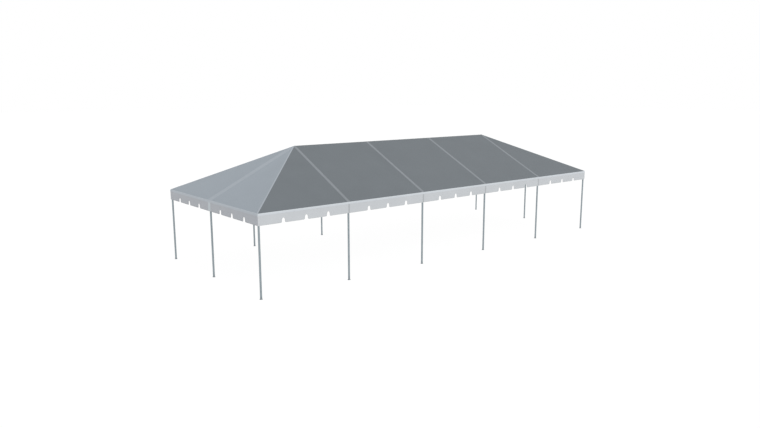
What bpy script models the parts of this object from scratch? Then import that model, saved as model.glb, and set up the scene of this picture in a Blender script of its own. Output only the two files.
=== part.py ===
"""Frame tent: a hipped fabric canopy with a notched valance over a slip-together tube frame.

Metres, +Z up. The origin is on the ground at the middle of the plan, +X runs along the ridge,
and -Y is the front. The long sides have six posts each, numbered from left to right along +X.
Posts four and five of the back have no leg, which leaves one wide opening there.
"""

import math

import bmesh
import bpy
from mathutils import Vector

# Driving dimensions
BAY = 3.048                 # leg to leg along the long sides, ten feet
BAYS = 5
BACK_POSTS_WITHOUT_LEG = (4, 5)
WIDTH = 5.90                # leg centre to leg centre across the tent
RAIL_HEIGHT = 2.40          # centre line of the eave rails
PITCH = 0.5                 # rise over run of the front and back slopes
VALANCE_DROP = 0.34         # from the eave fold to the hem

TUBE_R = 0.0302             # tube of 60.4 mm outer diameter, used for the whole frame
SOCKET_CLEARANCE = 0.0006   # between a tube and the bore that holds it
SLEEVE_R = 0.0355
HUB_R = 0.0380
HUB_TURN = (0.20, 0.31, 0.12)   # keeps the hub's edges off the edges of its sleeves
TUBE_START = 0.100          # from a fitting's centre to the end of a tube
SLEEVE_LENGTH = 0.210       # from a fitting's centre to the mouth of its socket
SIDES = 16                  # facets round a tube

FOOT_R = 0.045
FOOT_THICKNESS = 0.006
WELD = 0.005

FABRIC_THICKNESS = 0.003
TOUCH_GAP = 0.0003          # between faces that touch in the real tent
FABRIC_INSIDE = HUB_R + 0.0004

NOTCHES_PER_BAY = 3
NOTCH_HEIGHT = 0.142
NOTCH_HALF_WIDTH = 0.050
NOTCH_TOP_RISE = 0.092      # height of the half ellipse at a notch's top
FLAP_CORNER_R = 0.036

# Worked out from the driving dimensions
HALF_LENGTH = BAY * BAYS / 2
HALF_WIDTH = WIDTH / 2
RIDGE_HEIGHT = RAIL_HEIGHT + PITCH * HALF_WIDTH
HALF_RIDGE = HALF_LENGTH - BAY
END_PITCH = (RIDGE_HEIGHT - RAIL_HEIGHT) / BAY
FABRIC_OUTSIDE = FABRIC_INSIDE + FABRIC_THICKNESS
BORE_R = TUBE_R + SOCKET_CLEARANCE
SOCKET_FLOOR = TUBE_START - TOUCH_GAP
POST_X = [BAY * number - HALF_LENGTH for number in range(BAYS + 1)]

ORIGIN = Vector((0, 0, 0))
DOWN = Vector((0, 0, -1))
RIGHT = Vector((1, 0, 0))
BACK = Vector((0, 1, 0))


# Scene, materials and small helpers

def clear_scene():
    for old in list(bpy.data.objects):
        bpy.data.objects.remove(old)


def new_collection(name):
    made = bpy.data.collections.new(name)
    bpy.context.scene.collection.children.link(made)
    return made


def new_material(name, colour, roughness, metallic):
    made = bpy.data.materials.new(name)
    made.use_nodes = True
    shader = made.node_tree.nodes["Principled BSDF"]
    shader.inputs["Base Color"].default_value = (*colour, 1.0)
    shader.inputs["Roughness"].default_value = roughness
    shader.inputs["Metallic"].default_value = metallic
    return made


def keep(piece, name, material, smooth=True):
    """Names a finished piece, gives it its material and puts it in the tent's collection."""
    piece.name = name
    piece.data.name = name
    piece.data.materials.clear()
    piece.data.materials.append(material)
    for holder in list(piece.users_collection):
        holder.objects.unlink(piece)
    TENT.objects.link(piece)
    if smooth and piece.type == "MESH":
        piece.data.shade_smooth()
        piece.data.set_sharp_from_angle(angle=math.radians(35))
    return piece


def cylinder_along(start, end, radius):
    """A closed cylinder whose axis runs from start to end."""
    axis = end - start
    bpy.ops.mesh.primitive_cylinder_add(
        vertices=SIDES, radius=radius, depth=axis.length, location=(start + end) / 2
    )
    made = bpy.context.object
    made.rotation_euler = axis.to_track_quat("Z", "Y").to_euler()
    bpy.context.view_layer.update()
    return made


def apply_boolean(piece, other, operation):
    """Joins other to piece, or cuts it from piece, and removes other."""
    modifier = piece.modifiers.new(operation.lower(), "BOOLEAN")
    modifier.operation = operation
    modifier.solver = "EXACT"
    modifier.object = other
    with bpy.context.temp_override(object=piece, active_object=piece):
        bpy.ops.object.modifier_apply(modifier=modifier.name)
    bpy.data.objects.remove(other)


# Legs, tubes and fittings

def add_leg(name, x, y):
    """A leg tube with its welded foot plate, turned about the leg's own axis."""
    top = RAIL_HEIGHT - TUBE_START
    profile = [
        (0, top),
        (TUBE_R, top),
        (TUBE_R, FOOT_THICKNESS + WELD),
        (TUBE_R + WELD, FOOT_THICKNESS),
        (FOOT_R, FOOT_THICKNESS),
        (FOOT_R, 0),
        (0, 0),
    ]
    mesh = bpy.data.meshes.new(name)
    edges = [(number, number + 1) for number in range(len(profile) - 1)]
    mesh.from_pydata([(radius, 0, height) for radius, height in profile], edges, [])
    leg = bpy.data.objects.new(name, mesh)
    leg.location = (x, y, 0)
    turn = leg.modifiers.new("turn", "SCREW")
    turn.steps = SIDES
    turn.render_steps = SIDES
    turn.use_merge_vertices = True
    turn.merge_threshold = 0.00005
    return keep(leg, name, TUBE_METAL, smooth=False)


def add_tube(name, start, end):
    """A frame tube between two fittings' centres, short of each by the socket's floor."""
    along = (end - start).normalized()
    tube = cylinder_along(start + along * TUBE_START, end - along * TUBE_START, TUBE_R)
    return keep(tube, name, TUBE_METAL)


def join_or_cut(piece, others, operation):
    """Applies the same Boolean to piece with each of the others in turn."""
    for other in others:
        apply_boolean(piece, other, operation)


def socket_sleeves(centre, directions):
    """The outside of a fitting's sockets, one along each direction."""
    return [cylinder_along(centre, centre + way * SLEEVE_LENGTH, SLEEVE_R) for way in directions]


def socket_bores(centre, directions):
    """What is cut from blind sockets: each runs from its floor to past its mouth."""
    floors = [centre + way * SOCKET_FLOOR for way in directions]
    mouths = [centre + way * (SLEEVE_LENGTH + TUBE_R) for way in directions]
    return [cylinder_along(floor, mouth, BORE_R) for floor, mouth in zip(floors, mouths)]


def add_fitting(name, centre, directions):
    """A round hub with a blind socket in each direction, for the ends of the tubes it joins."""
    bpy.ops.mesh.primitive_uv_sphere_add(
        segments=SIDES, ring_count=SIDES // 2, radius=HUB_R, rotation=HUB_TURN
    )
    hub = bpy.context.object
    join_or_cut(hub, socket_sleeves(ORIGIN, directions), "UNION")
    join_or_cut(hub, socket_bores(ORIGIN, directions), "DIFFERENCE")
    hub.location = centre
    return keep(hub, name, FITTING_METAL)


def add_run(name, start, end, tees):
    """A long tube between two fittings, with the tees that slip over it.

    tees holds each tee's centre and the directions of its blind sockets.
    """
    middle = (start + end) / 2
    half_length = (end - middle) - (end - start).normalized() * TUBE_START
    reach = half_length.normalized() * SLEEVE_LENGTH
    run = cylinder_along(-half_length, half_length, TUBE_R)
    bpy.ops.object.transform_apply(location=False, rotation=True, scale=False)
    for tee, directions in tees:
        centre = tee - middle
        slip = cylinder_along(centre - reach, centre + reach, SLEEVE_R)
        join_or_cut(run, [slip, *socket_sleeves(centre, directions)], "UNION")
        join_or_cut(run, socket_bores(centre, directions), "DIFFERENCE")
    run.location = middle
    return keep(run, name, TUBE_METAL)


# Fabric

def front_slope_height(y):
    """Height of the outer face of the front and back slopes at a distance |y| from the ridge."""
    return RIDGE_HEIGHT + FABRIC_OUTSIDE * math.hypot(1, PITCH) - PITCH * abs(y)


def end_slope_height(x):
    """Height of the outer face of the two hipped ends at |x|."""
    rise = END_PITCH * (HALF_LENGTH - abs(x))
    return RAIL_HEIGHT + FABRIC_OUTSIDE * math.hypot(1, END_PITCH) + rise


def outer_ridge_end():
    """The |x| at which the end's outer face meets the ridge line of the outer faces."""
    over_rail = front_slope_height(0) - end_slope_height(HALF_LENGTH)
    return HALF_LENGTH - over_rail / END_PITCH


def inset(outline, gap):
    """A plan outline, counter-clockwise, with every edge moved inwards by gap."""
    moved = []
    for number, corner in enumerate(outline):
        before = (corner - outline[number - 1]).normalized()
        after = (outline[(number + 1) % len(outline)] - corner).normalized()
        inward_before = Vector((-before.y, before.x))
        inward_after = Vector((-after.y, after.x))
        bisector = (inward_before + inward_after).normalized()
        moved.append(corner + bisector * gap / bisector.dot(inward_after))
    return moved


def add_roof_panel(name, outline, height_at, pitch, material):
    """A flat fabric panel: a plan outline lifted onto its slope and thickened downwards."""
    shape = bmesh.new()
    corners = [shape.verts.new((p.x, p.y, height_at(p))) for p in inset(outline, TOUCH_GAP / 2)]
    face = shape.faces.new(corners)
    below = bmesh.ops.extrude_face_region(shape, geom=[face])
    depth = FABRIC_THICKNESS * math.hypot(1, pitch)
    lowered = [item for item in below["geom"] if isinstance(item, bmesh.types.BMVert)]
    bmesh.ops.translate(shape, vec=(0, 0, -depth), verts=lowered)
    bmesh.ops.recalc_face_normals(shape, faces=shape.faces)
    mesh = bpy.data.meshes.new(name)
    shape.to_mesh(mesh)
    shape.free()
    panel = bpy.data.objects.new(name, mesh)
    return keep(panel, name, material, smooth=False)


def add_roof():
    """Two trapezoid slopes and two triangular ends, which meet at the hips and the ridge."""
    x, y = HALF_LENGTH + FABRIC_OUTSIDE, HALF_WIDTH + FABRIC_OUTSIDE
    ridge_x = outer_ridge_end()
    for side, name in ((-1, "front"), (1, "back")):
        outline = [
            Vector((side * x, side * y)),
            Vector((-side * x, side * y)),
            Vector((-side * ridge_x, 0)),
            Vector((side * ridge_x, 0)),
        ]
        add_roof_panel(
            f"canopy_{name}_slope",
            outline,
            lambda p: front_slope_height(p.y),
            PITCH,
            ROOF_FABRIC,
        )
    for side, name in ((-1, "left"), (1, "right")):
        outline = [
            Vector((side * x, -side * y)),
            Vector((side * x, side * y)),
            Vector((side * ridge_x, 0)),
        ]
        add_roof_panel(
            f"canopy_{name}_end",
            outline,
            lambda p: end_slope_height(p.x),
            END_PITCH,
            END_FABRIC,
        )


def arc(centre, across, up, start, end, steps):
    """Points on an ellipse's arc, from its half width and half height, angles in degrees."""
    points = []
    for number in range(steps + 1):
        angle = math.radians(start + (end - start) * number / steps)
        points.append((centre[0] + across * math.cos(angle), centre[1] + up * math.sin(angle)))
    return points


def notch_points(middle):
    """One notch of the hem, left to right: a rounded flap corner, an arched top, a rounded corner."""
    half, rise, corner = NOTCH_HALF_WIDTH, NOTCH_TOP_RISE, FLAP_CORNER_R
    return [
        *arc((middle - half - corner, corner), corner, corner, -90, 0, 2),
        *arc((middle, NOTCH_HEIGHT - rise), half, rise, 180, 0, 6),
        *arc((middle + half + corner, corner), corner, corner, 180, 270, 2),
    ]


def add_valance(name, bay_edges, half_length, height, middle, turn):
    """A hanging strip of fabric with notches at the quarter points of every bay."""
    outline = [(-half_length, height), (-half_length, 0)]
    for left, right in zip(bay_edges, bay_edges[1:]):
        for number in range(1, NOTCHES_PER_BAY + 1):
            share = number / (NOTCHES_PER_BAY + 1)
            outline += notch_points(left + (right - left) * share)
    outline += [(half_length, 0), (half_length, height)]
    curve = bpy.data.curves.new(name, "CURVE")
    curve.dimensions = "2D"
    curve.fill_mode = "BOTH"
    curve.extrude = FABRIC_THICKNESS / 2
    spline = curve.splines.new("POLY")
    spline.points.add(len(outline) - 1)
    for point, place in zip(spline.points, outline):
        point.co = (*place, 0, 1)
    spline.use_cyclic_u = True
    valance = bpy.data.objects.new(name, curve)
    valance.location = middle
    valance.rotation_euler = (math.radians(90), 0, turn)
    return keep(valance, name, VALANCE_FABRIC, smooth=False)


def add_valances():
    """Four strips: the front and back ones run past the ends, and the end ones fit between them."""
    sheet_middle = (FABRIC_INSIDE + FABRIC_OUTSIDE) / 2
    long_fold = front_slope_height(HALF_WIDTH + FABRIC_OUTSIDE)
    end_fold = end_slope_height(HALF_LENGTH + FABRIC_OUTSIDE)
    hem = long_fold - VALANCE_DROP
    long_height = VALANCE_DROP - FABRIC_THICKNESS * math.hypot(1, PITCH) - TOUCH_GAP
    end_height = end_fold - hem - FABRIC_THICKNESS * math.hypot(1, END_PITCH) - TOUCH_GAP
    long_half = HALF_LENGTH + FABRIC_OUTSIDE
    end_half = HALF_WIDTH + FABRIC_INSIDE - TOUCH_GAP
    end_edges = [-HALF_WIDTH, 0, HALF_WIDTH]
    for side, name in ((-1, "front"), (1, "back")):
        place = (0, side * (HALF_WIDTH + sheet_middle), hem)
        add_valance(f"valance_{name}", POST_X, long_half, long_height, place, 0)
    for side, name in ((-1, "left"), (1, "right")):
        place = (side * (HALF_LENGTH + sheet_middle), 0, hem)
        turn = math.radians(90)
        add_valance(f"valance_{name}", end_edges, end_half, end_height, place, turn)


# The frame

def add_long_side(side, name, posts_without_leg):
    """The legs, the eave rail with its tees, and the rafters of the front (-1) or back (1)."""
    y = side * HALF_WIDTH
    tees = []
    for post, x in enumerate(POST_X, start=1):
        if post not in posts_without_leg:
            add_leg(f"leg_{name}_{post}", x, y)
        if abs(x) < HALF_LENGTH:
            foot = Vector((x, y, RAIL_HEIGHT))
            top = Vector((x, 0, RIDGE_HEIGHT))
            add_tube(f"rafter_{name}_{post}", foot, top)
            up_slope = (top - foot).normalized()
            tees.append((foot, [up_slope] if post in posts_without_leg else [DOWN, up_slope]))
    ends = [Vector((x, y, RAIL_HEIGHT)) for x in (-HALF_LENGTH, HALF_LENGTH)]
    add_run(f"eave_rail_{name}", *ends, tees)


def add_end(side, name):
    """The middle leg, the rail with its tee, the rafters and fittings of the left or right end."""
    x = side * HALF_LENGTH
    inward = -side * RIGHT
    corners = [Vector((x, y, RAIL_HEIGHT)) for y in (-HALF_WIDTH, HALF_WIDTH)]
    middle = Vector((x, 0, RAIL_HEIGHT))
    crown = Vector((side * HALF_RIDGE, 0, RIDGE_HEIGHT))
    up_slope = (crown - middle).normalized()
    add_leg(f"leg_{name}_middle", x, 0)
    add_run(f"eave_rail_{name}", *corners, [(middle, [DOWN, up_slope])])
    add_tube(f"end_rafter_{name}", middle, crown)

    rafter_feet = [Vector((crown.x, y, RAIL_HEIGHT)) for y in (-HALF_WIDTH, HALF_WIDTH)]
    lower_ends = [*corners, *rafter_feet, middle]
    down_slopes = [(lower_end - crown).normalized() for lower_end in lower_ends]
    add_fitting(f"crown_{name}", crown, [*down_slopes, inward])

    for corner, across, side_name in zip(corners, (BACK, -BACK), ("front", "back")):
        hip = (crown - corner).normalized()
        add_fitting(f"corner_{side_name}_{name}", corner, [DOWN, inward, across, hip])
        add_tube(f"hip_rafter_{side_name}_{name}", corner, crown)


def add_ridge():
    """The ridge tube between the crowns, with the tees that carry the middle rafters."""
    tees = []
    for x in POST_X[2:-2]:
        centre = Vector((x, 0, RIDGE_HEIGHT))
        feet = [Vector((x, y, RAIL_HEIGHT)) for y in (-HALF_WIDTH, HALF_WIDTH)]
        tees.append((centre, [(foot - centre).normalized() for foot in feet]))
    ends = [Vector((x, 0, RIDGE_HEIGHT)) for x in (-HALF_RIDGE, HALF_RIDGE)]
    add_run("ridge_beam", *ends, tees)


clear_scene()
TENT = new_collection("frame_tent")
TUBE_METAL = new_material("tube_metal", (0.55, 0.57, 0.58), 0.38, 0.85)
FITTING_METAL = new_material("fitting_metal", (0.47, 0.49, 0.50), 0.50, 0.80)
ROOF_FABRIC = new_material("roof_fabric", (0.20, 0.22, 0.24), 0.55, 0.0)
END_FABRIC = new_material("end_fabric", (0.34, 0.38, 0.42), 0.55, 0.0)
VALANCE_FABRIC = new_material("valance_fabric", (0.60, 0.62, 0.64), 0.60, 0.0)

add_long_side(-1, "front", ())
add_long_side(1, "back", BACK_POSTS_WITHOUT_LEG)
add_end(-1, "left")
add_end(1, "right")
add_ridge()
add_roof()
add_valances()
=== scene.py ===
"""Looks of the frame tent: coated fabric over a tube frame, in metres, +Z up, front at -Y."""

import math
from collections import Counter
from dataclasses import dataclass

import bmesh
import bpy
from mathutils import Matrix, Vector, noise
from mathutils.geometry import delaunay_2d_cdt


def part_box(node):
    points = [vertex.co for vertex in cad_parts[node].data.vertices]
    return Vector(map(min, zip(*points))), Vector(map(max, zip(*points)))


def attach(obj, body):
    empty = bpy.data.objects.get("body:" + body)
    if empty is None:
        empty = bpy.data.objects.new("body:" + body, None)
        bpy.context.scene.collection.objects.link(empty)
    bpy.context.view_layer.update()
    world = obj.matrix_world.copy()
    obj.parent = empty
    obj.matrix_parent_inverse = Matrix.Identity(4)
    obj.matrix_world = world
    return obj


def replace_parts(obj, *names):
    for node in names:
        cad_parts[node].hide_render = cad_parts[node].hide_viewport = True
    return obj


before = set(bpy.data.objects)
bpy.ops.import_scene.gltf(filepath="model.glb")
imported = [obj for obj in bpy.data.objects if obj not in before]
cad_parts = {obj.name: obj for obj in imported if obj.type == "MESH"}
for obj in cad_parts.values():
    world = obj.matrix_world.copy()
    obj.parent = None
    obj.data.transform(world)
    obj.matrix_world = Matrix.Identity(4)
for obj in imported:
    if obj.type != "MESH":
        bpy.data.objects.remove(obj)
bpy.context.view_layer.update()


# Main sizes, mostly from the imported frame

def centre_of(node):
    low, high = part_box(node)
    return (low + high) / 2


BAYS = 5
BACK_POSTS_WITHOUT_LEG = (4, 5)
HALF_LENGTH = centre_of("leg_front_6").x
HALF_WIDTH = centre_of("leg_back_1").y
BAY = 2 * HALF_LENGTH / BAYS
HALF_RIDGE = HALF_LENGTH - BAY
TUBE_START = 0.100          # from a fitting's centre to the end of the tube in its socket
RAIL_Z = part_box("leg_front_1")[1].z + TUBE_START
FOLD_R = -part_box("valance_front")[0].y - HALF_WIDTH
HEM_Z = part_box("valance_front")[0].z
PITCH = 0.5                 # rise over run of the long slopes
RIDGE_Z = RAIL_Z + PITCH * HALF_WIDTH
END_PITCH = (RIDGE_Z - RAIL_Z) / BAY
POST_X = [BAY * number - HALF_LENGTH for number in range(BAYS + 1)]

# Frame
TUBE_R = 0.0302
BORE_R = 0.0308
SLEEVE_R = 0.0355
SLEEVE_LENGTH = 0.210       # from a fitting's centre to the mouth of its socket
SOCKET_RIM = math.hypot(SLEEVE_LENGTH, SLEEVE_R)    # from a fitting's centre to a socket's rim
SOCKET_FLOOR = 0.0997
HUB_R = 0.0380
HUB_TURN = (0.20, 0.31)     # about X and Y; keeps its edges off those of the sleeves
ROUND = 40                  # facets round a tube
MOUTH_ROUNDING = 0.0015
WELD_R = 0.0028
WELD_RIPPLE = 0.16          # share of its radius by which a weld swells
WELD_SIDES = 8
SAME_POINT = 0.00005        # points of a cut fitting that are closer than this are one
NEAR_NOTHING = 0.00001      # guards divisions and outlines
FOOT_R = 0.045
FOOT_THICKNESS = 0.006
FOOT_EDGE = 0.0012          # bevel of the foot plate
FOOT_WELD = 0.0054          # width and height of the weld round a leg's foot
BOLT_AT = 0.165             # from a fitting's centre to a socket's bolt
BOLT_SIDES = 14
BOLT_HEAD_R = 0.0080
WASHER = 0.0016             # thickness, and how deep heads and washers are sunk

# Fabric
CLOTH = 0.0015              # thickness of the coated fabric
CELLS = 40                  # grid cells along a bay and up a slope
FOLD_CELLS = 6              # grid cells round the fold at the eave
SLOPE_SAG = 0.016           # fabric below its plane at the middle of a full bay
CORNER_SAG = 0.005          # the same in the triangles beside the hips
PUCKER = 0.0030             # height of the small waves that start at the eaves
PUCKER_FADE = 0.7           # how far up a slope they fade
BAND_CLOTH = 0.0009         # thickness of the bands and tapes
BAND_LIFT = 0.0014          # a seam band proud of the fabric
OVERLAP_LIFT = 0.0004       # more for each band that lies over another
BAND_EDGE = -0.0006         # their edges, just in the fabric
BAND_FLANK = 0.0008         # width of the steep step at a band's edge
RAFTER_BAND = 0.101
HIP_BAND_ON_SLOPE = 0.008
HIP_BAND_ON_END = 0.042
END_BAND = 0.248
SEAM_POINT = 0.0001         # seams stop this short of the crown
SEAM_CELLS = 60             # rows along a seam band
ACROSS_BAND = 6             # cells across a flat band
EAVE_LIFT = 0.0026
EAVE_BAND_TOP = math.radians(54)    # where the eave band starts on the fold, from straight up
END_BAND_TOP = math.radians(46)     # the same on the ends
SEAM_FOOT = math.radians(56.5)      # where the seams end, under the eave band
EAVE_BAND_DROP = 0.042      # the band round the eave, below the rail's centre
POST_BAND = 0.054
END_POST_BAND = 0.159
CORNER_BAND = 0.026         # on each side of a corner
UNDER_EAVE_BAND = 0.004     # how far post and corner bands run up under the eave band
HEM_TAPE = 0.014
NOTCHES_PER_BAY = 3
NOTCH_HEIGHT = 0.142
NOTCH_HALF_WIDTH = 0.050
NOTCH_TOP_RISE = 0.092      # height of the half ellipse at a notch's top
FLAP_CORNER_R = 0.036
STEP_ALONG = 0.05           # between points along a straight hem or an eave band
NET_STEP = 0.035            # between columns of a valance's net
NET_ABOVE_NOTCHES = (0.165, 0.205, 0.245, 0.28)
NET_BESIDE_NOTCHES = (0.035, 0.075, 0.115)
RIPPLE = 0.010              # how far a valance may wave between its posts
WAVES_START = 0.04          # below the rail's centre, where a valance starts to wave
SCRIM_THREAD = 0.0016       # width of the threads that show through the coating
STITCH = 0.0065             # from one stitch to the next
STITCH_ROWS = (0.0035, 0.0075)      # from a band's edge
WELD_MARK = 0.0030          # pitch of the marks that a welding bar leaves
WELD_ZONE = (0.013, 0.009, 0.0105)  # its middle from a band's edge, half of it, and where it ends
BAND_MAP = "band"           # UV map of a band: distance from its nearest long edge, and along it

DOWN = Vector((0, 0, -1))
UP = Vector((0, 0, 1))
RIGHT = Vector((1, 0, 0))
BACK = Vector((0, 1, 0))


@dataclass
class Side:
    """One side of the tent, drawn as if it were the front and then turned to its place."""

    name: str
    posts: list
    reach: float
    turn: float
    seed: float

    @property
    def half(self):
        return self.posts[-1]

    def at(self, along, out, height):
        """A point by its place along the side, its distance outside the post line, its height."""
        place = Vector((along, -self.reach - out, height))
        return Matrix.Rotation(self.turn, 3, "Z") @ place


END_POSTS = [-HALF_WIDTH, 0, HALF_WIDTH]
FRONT = Side("front", POST_X, HALF_WIDTH, 0, 1.0)
LONG_SIDES = (FRONT, Side("back", POST_X, HALF_WIDTH, math.pi, 2.0))
ENDS = (
    Side("left", END_POSTS, HALF_LENGTH, -math.pi / 2, 3.0),
    Side("right", END_POSTS, HALF_LENGTH, math.pi / 2, 4.0),
)
LEFT_RIGHT = ((-1, "left"), (1, "right"))
FRONT_BACK = ((-1, "front"), (1, "back"))


# Materials

def material(name, colour, roughness, metallic=0.0, shine=0.5):
    """A Principled material."""
    made = bpy.data.materials.new(name)
    made.use_nodes = True
    sockets = made.node_tree.nodes["Principled BSDF"].inputs
    sockets["Base Color"].default_value = (*colour, 1)
    sockets["Roughness"].default_value = roughness
    sockets["Metallic"].default_value = metallic
    sockets["Specular IOR Level"].default_value = shine
    return made


def add_node(tree, kind, inputs=(), **settings):
    """A node of that kind; inputs maps sockets to values or to the sockets that feed them."""
    node = tree.nodes.new(kind)
    for key, value in settings.items():
        setattr(node, key, value)
    for key, value in dict(inputs).items():
        if isinstance(value, bpy.types.NodeSocket):
            tree.links.new(value, node.inputs[key])
        else:
            node.inputs[key].default_value = value
    return node


def noise_of(tree, place, scale, detail=4.0, roughness=0.5):
    inputs = {"Vector": place, "Scale": scale, "Detail": detail, "Roughness": roughness}
    return add_node(tree, "ShaderNodeTexNoise", inputs).outputs["Fac"]


def spread(tree, value, low, high, start=0.3, end=0.7):
    """Maps a noise value from start..end to low..high."""
    inputs = {"Value": value, "From Min": start, "From Max": end, "To Min": low, "To Max": high}
    return add_node(tree, "ShaderNodeMapRange", inputs).outputs["Result"]


def maths(tree, operation, one, other=0.0):
    node = add_node(tree, "ShaderNodeMath", {0: one, 1: other}, operation=operation)
    return node.outputs["Value"]


def vector_maths(tree, operation, inputs, output="Vector"):
    node = add_node(tree, "ShaderNodeVectorMath", inputs, operation=operation)
    return node.outputs[output]


def times(tree, one, other):
    return maths(tree, "MULTIPLY", one, other)


def near(tree, value, centre, full, none):
    """1 where the value is within full of the centre, falling to 0 at none from it."""
    off = maths(tree, "ABSOLUTE", maths(tree, "SUBTRACT", value, centre))
    return spread(tree, off, 1.0, 0.0, full, none)


def shaded(tree, colour, shade):
    """The colour, lighter or darker by the shade value."""
    return vector_maths(tree, "SCALE", {0: colour, "Scale": shade})


def bumped(tree, height, strength, distance, below=None):
    inputs = {"Height": height, "Strength": strength, "Distance": distance}
    if below:
        inputs["Normal"] = below
    return add_node(tree, "ShaderNodeBump", inputs).outputs["Normal"]


def finish_shader(made, colour, roughness, normal):
    """Feed a material's shader from those sockets."""
    tree = made.node_tree
    sockets = tree.nodes["Principled BSDF"].inputs
    for source, name in ((colour, "Base Color"), (roughness, "Roughness"), (normal, "Normal")):
        tree.links.new(source, sockets[name])
    return made


def weave(tree, place, thread):
    """Height of a plain weave: threads along X, Y and Z of that width."""
    inputs = {"Vector": place, "Scale": 0.05 * math.pi / thread}
    waves = [add_node(tree, "ShaderNodeTexWave", inputs, bands_direction=axis) for axis in "XYZ"]
    one, other, third = (wave.outputs["Fac"] for wave in waves)
    return times(tree, times(tree, one, other), third)


def on_band(tree):
    """Sockets with the distance from a band's nearest edge and the distance along it."""
    place = add_node(tree, "ShaderNodeUVMap", uv_map=BAND_MAP).outputs["UV"]
    parts = add_node(tree, "ShaderNodeSeparateXYZ", {"Vector": place})
    return parts.outputs["X"], parts.outputs["Y"]


def stitched(tree):
    """Height and shade of a sewn band: stitches in two rows with painted shade in the dimples
    beside them, and darker where its edge steps down.
    """
    edge, along = on_band(tree)
    dash = near(tree, maths(tree, "FRACT", maths(tree, "DIVIDE", along, STITCH)), 0.5, 0.34, 0.42)
    one, other = (near(tree, edge, row, 0.0004, 0.0008) for row in STITCH_ROWS)
    thread = times(tree, maths(tree, "MAXIMUM", one, other), dash)
    one, other = (near(tree, edge, row, 0.0, 0.0019) for row in STITCH_ROWS)
    pulled = maths(tree, "MAXIMUM", one, other)
    height = maths(tree, "SUBTRACT", thread, times(tree, pulled, 0.7))
    # Darker within a small distance of the band's edges.
    darkened = spread(tree, edge, 0.93, 1.0, 0.0, 0.0016)
    shade = times(tree, spread(tree, thread, 1.0, 1.07, 0.0, 1.0), darkened)
    # Painted shade in the dimples where the stitches pull the cloth in.
    return height, times(tree, shade, spread(tree, pulled, 1.0, 0.965, 0.0, 1.0))


def welded(tree):
    """Height and shade of a welded seam: the fine grid of a welding bar along both its edges, with
    painted shade in its grooves and painted light on its ridges, and darker along its edges.
    """
    edge, along = on_band(tree)
    turn = 2 * math.pi / WELD_MARK
    across_mark = maths(tree, "SINE", times(tree, edge, turn))
    along_mark = maths(tree, "SINE", times(tree, along, turn))
    zone = near(tree, edge, *WELD_ZONE)
    height = times(tree, times(tree, across_mark, along_mark), zone)
    darkened = spread(tree, edge, 0.94, 1.0, 0.0, 0.002)
    # The marks' grooves get painted shade and their ridges painted light.
    return height, times(tree, darkened, spread(tree, height, 0.98, 1.02, -1.0, 1.0))


def coated_fabric(name, colour, roughness=0.50, joint=None, shine=0.5):
    """Vinyl-coated fabric: a fine scrim, slow changes of shade, dust, and creases from folding.

    joint is stitched or welded, for a band that strip made.
    """
    made = material(name, colour, roughness, shine=shine)
    tree = made.node_tree
    place = add_node(tree, "ShaderNodeTexCoord").outputs["Object"]
    cloudy = spread(tree, noise_of(tree, place, 1.3), 0.98, 1.02)
    dust = noise_of(tree, place, 38.0, 6.0, 0.7)
    specks = spread(tree, dust, 1.02, 0.955, 0.35, 0.75)
    stains = spread(tree, noise_of(tree, place, 0.45, 7.0, 0.62), 1.006, 0.986, 0.45, 0.62)
    shade = times(tree, times(tree, cloudy, specks), stains)
    gloss = spread(tree, dust, roughness - 0.06, roughness + 0.10, 0.0, 1.0)
    scrim = bumped(tree, weave(tree, place, SCRIM_THREAD), 0.20, 0.0004)
    if joint:
        height, tint = joint(tree)
        scrim = bumped(tree, height, 0.55, 0.0005, scrim)
        shade = times(tree, shade, tint)
    inputs = {"Vector": place, "Scale": 2.2, "Detail": 5.0, "Distortion": 0.6}
    creases = add_node(tree, "ShaderNodeTexNoise", inputs).outputs["Fac"]
    folds = bumped(tree, creases, 0.25, 0.006, scrim)
    return finish_shader(made, shaded(tree, colour, shade), gloss, folds)


def satin_metal(name, colour, roughness, grain, rim=None):
    """Aluminium dulled by handling, with a grain that runs along the piece's own Z axis.

    It is darker towards the ground, and rubbed bright at the distance rim from the piece's origin.
    """
    made = material(name, colour, roughness, metallic=1.0)
    tree = made.node_tree
    own = add_node(tree, "ShaderNodeTexCoord").outputs["Object"]
    where = add_node(tree, "ShaderNodeObjectInfo").outputs["Location"]
    place = vector_maths(tree, "ADD", {0: own, 1: where})
    long_way = add_node(tree, "ShaderNodeMapping", {"Vector": place, "Scale": (1, 1, grain)})
    drawn = noise_of(tree, long_way.outputs["Vector"], 240.0, 3.0)
    stain = spread(tree, noise_of(tree, place, 6.0, 6.0, 0.65), 0.90, 1.07)
    lines = spread(tree, drawn, 0.96, 1.03)
    scuffs = noise_of(tree, place, 55.0, 5.0, 0.6)
    gloss = spread(tree, scuffs, roughness - 0.07, roughness + 0.13)
    bump = bumped(tree, drawn, 0.12, 0.0003)
    height = add_node(tree, "ShaderNodeSeparateXYZ", {"Vector": place}).outputs["Z"]
    ragged_height = maths(tree, "ADD", height, times(tree, scuffs, 0.10))
    darkened = spread(tree, ragged_height, 0.80, 1.0, 0.05, 0.17)
    shade = times(tree, times(tree, stain, lines), darkened)
    if rim:
        reach = vector_maths(tree, "LENGTH", {0: own}, "Value")
        at_rim = spread(tree, reach, 0.0, 1.0, rim - 0.0026, rim - 0.0008)
        rubbed = times(tree, at_rim, spread(tree, scuffs, 0.25, 1.0, 0.40, 0.55))
        shade = times(tree, shade, spread(tree, rubbed, 1.0, 1.5, 0.0, 1.0))
    return finish_shader(made, shaded(tree, colour, shade), gloss, bump)


# The canopy's vinyl in two copies: darker on the slopes as painted shade, lighter on the hipped
# ends as painted light.
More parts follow.
